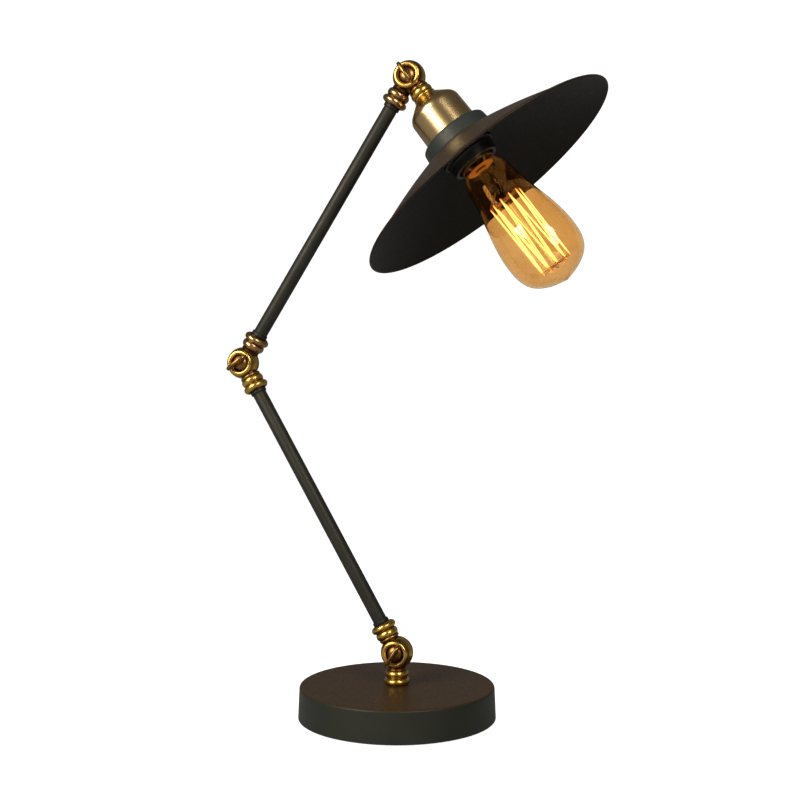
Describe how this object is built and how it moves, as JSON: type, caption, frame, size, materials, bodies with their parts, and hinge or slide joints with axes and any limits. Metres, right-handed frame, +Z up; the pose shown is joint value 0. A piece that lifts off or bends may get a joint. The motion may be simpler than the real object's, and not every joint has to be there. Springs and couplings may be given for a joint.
{
  "type": "adjustable desk lamp",
  "caption": "Desk lamp with a round weighted base, arms on ball swivels with wing screws, a shallow metal shade and a clear filament bulb.",
  "frame": {"origin": "centre of the base's underside, on the desk", "axes": "+Z up; the arms swing in the XZ plane with the head leaning towards +X; the hinges run along Y and the wing screws stand towards -Y; the cord outlet is at the rear, +Y"},
  "size_m": [0.2966, 0.22, 0.5002],
  "materials": {
    "base_black": "satin powder coat",
    "cast_iron": "raw casting",
    "pad": "matte foam pad",
    "grommet": "moulded",
    "zinc_steel": "zinc plated",
    "antique_brass": "polished antique brass",
    "screw_brass": "darker antique brass",
    "cup_brass": "brushed light bronze",
    "contact_brass": "plain",
    "fibre": "fibre",
    "tube_black": "satin black",
    "ring_black": "satin black",
    "shade_black": "fine matt powder coat",
    "shade_ring_black": "moulded, satin",
    "holder_black": "moulded phenolic",
    "amber_glass": "clear amber",
    "clear_glass": "clear",
    "wire": "drawn wire",
    "filament_glow": "glowing filament"
  },
  "bodies": {
    "base": {"base_cover": "base_black", "base_weight": "cast_iron", "base_pad": "pad", "cord_grommet": "grommet", "base_nipple": "zinc_steel", "base_washer": "zinc_steel", "base_nut": "zinc_steel", "base_swivel_rear": "antique_brass", "base_friction_ring": "fibre"},
    "base_wing": {"base_wing_screw": "screw_brass"},
    "lower_arm": {"base_swivel_front": "antique_brass", "base_spring_washer": "screw_brass", "lower_tube": "tube_black", "lower_tube_foot_ring": "ring_black", "lower_tube_head_ring": "ring_black", "elbow_swivel_front": "antique_brass", "elbow_spring_washer": "screw_brass"},
    "elbow_wing": {"elbow_wing_screw": "screw_brass"},
    "upper_arm": {"elbow_swivel_rear": "antique_brass", "elbow_friction_ring": "fibre", "upper_tube": "tube_black", "upper_tube_foot_ring": "ring_black", "upper_tube_head_ring": "ring_black", "head_swivel_rear": "antique_brass", "head_friction_ring": "fibre"},
    "head_wing": {"head_wing_screw": "screw_brass"},
    "head": {"head_swivel_front": "antique_brass", "head_spring_washer": "screw_brass", "head_nipple": "zinc_steel", "head_nut": "zinc_steel", "socket_cup": "cup_brass", "holder_cap": "holder_black", "holder_core": "holder_black", "holder_terminals": "contact_brass", "holder_skirt": "holder_black", "holder_screw_shell": "contact_brass", "holder_centre_contact": "contact_brass", "shade_ring": "shade_ring_black", "shade": "shade_black", "shade_lock_nut": "holder_black", "bulb_cap": "contact_brass", "bulb_insulator": "holder_black", "bulb_contact": "contact_brass", "bulb_glass": "amber_glass", "bulb_stem": "clear_glass", "bulb_lead_wires": "wire", "filament_upper_hooks": "wire", "filament_lower_hooks": "wire", "filament": "filament_glow"}
  },
  "joints": [
    {"name": "base_swivel", "type": "hinge", "parent": "base", "child": "lower_arm", "pos_m": [0, 0, 0.0495], "axis": [0, 1, 0], "range_deg": [-65, 62]},
    {"name": "elbow_swivel", "type": "hinge", "parent": "lower_arm", "child": "upper_arm", "pos_m": [-0.12557, 0, 0.27144], "axis": [0, 1, 0], "range_deg": [-172, 50]},
    {"name": "head_swivel", "type": "hinge", "parent": "upper_arm", "child": "head", "pos_m": [0.00956, 0, 0.48769], "axis": [0, 1, 0], "range_deg": [-220, 2]},
    {"name": "base_wing_turn", "type": "hinge", "parent": "base", "child": "base_wing", "pos_m": [0, 0, 0.0495], "axis": [0, -1, 0], "range_deg": [0, 270]},
    {"name": "elbow_wing_turn", "type": "hinge", "parent": "upper_arm", "child": "elbow_wing", "pos_m": [-0.12557, 0, 0.27144], "axis": [0, -1, 0], "range_deg": [0, 270]},
    {"name": "head_wing_turn", "type": "hinge", "parent": "upper_arm", "child": "head_wing", "pos_m": [0.00956, 0, 0.48769], "axis": [0, -1, 0], "range_deg": [0, 270]}
  ]
}
